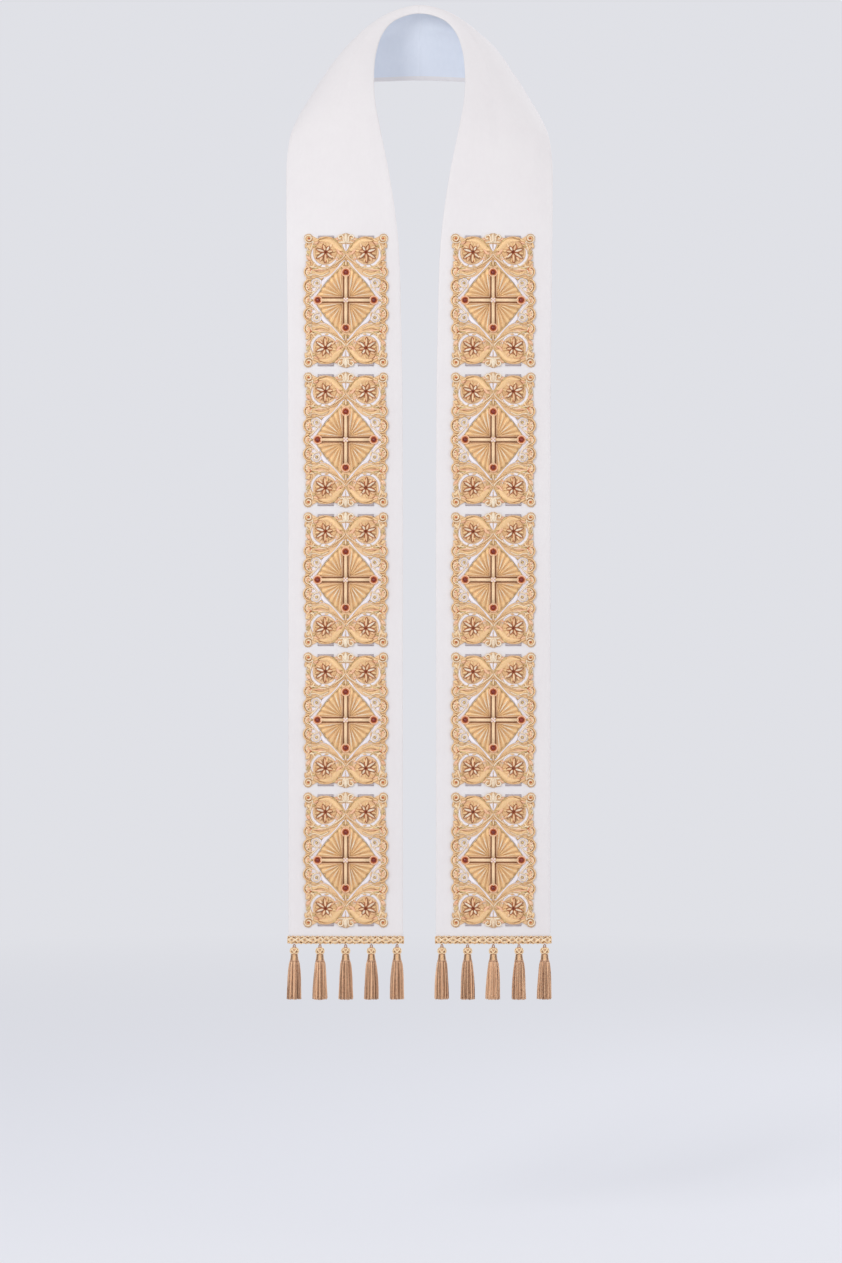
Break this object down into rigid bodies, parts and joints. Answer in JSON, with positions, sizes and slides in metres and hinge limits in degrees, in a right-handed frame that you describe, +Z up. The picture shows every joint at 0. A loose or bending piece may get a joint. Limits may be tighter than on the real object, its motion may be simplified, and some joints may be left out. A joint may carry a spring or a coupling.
{
  "type": "clerical stole",
  "caption": "Long stole worn round the neck, with raised cross-in-lozenge embroidered panels down both fronts, gimp braid and tassels at the hems.",
  "frame": {"origin": "crest of the neck roll at the centre-back seam, where the stole hangs on the wearer's nape", "axes": "+X to the right of a front view, -Y the front, +Z up; the plane x = 0 is the stole's mirror plane"},
  "size_m": [0.3242, 0.2459, 1.2283],
  "materials": {
    "cloth": "smooth off-white crepe, faintly warm, with a soft sheen",
    "embroidery": "gold and peach satin stitch and metallic cord over a silver-grey ground, with dark brown outlines",
    "stone": "polished dark red cabochon",
    "braid": "pale gold twisted gimp braid",
    "tassel": "brown-gold rayon strands under a wrapped bead head"
  },
  "bodies": {
    "root": {"band_left": "cloth", "medallion_left_1": "embroidery", "medallion_left_2": "embroidery", "medallion_left_3": "embroidery", "medallion_left_4": "embroidery", "medallion_left_5": "embroidery", "braid_left": "braid", "tassel_left_1": "tassel", "tassel_left_2": "tassel", "tassel_left_3": "tassel", "tassel_left_4": "tassel", "tassel_left_5": "tassel", "band_right": "cloth", "medallion_right_1": "embroidery", "medallion_right_2": "embroidery", "medallion_right_3": "embroidery", "medallion_right_4": "embroidery", "medallion_right_5": "embroidery", "braid_right": "braid", "tassel_right_1": "tassel", "tassel_right_2": "tassel", "tassel_right_3": "tassel", "tassel_right_4": "tassel", "tassel_right_5": "tassel"}
  },
  "joints": []
}
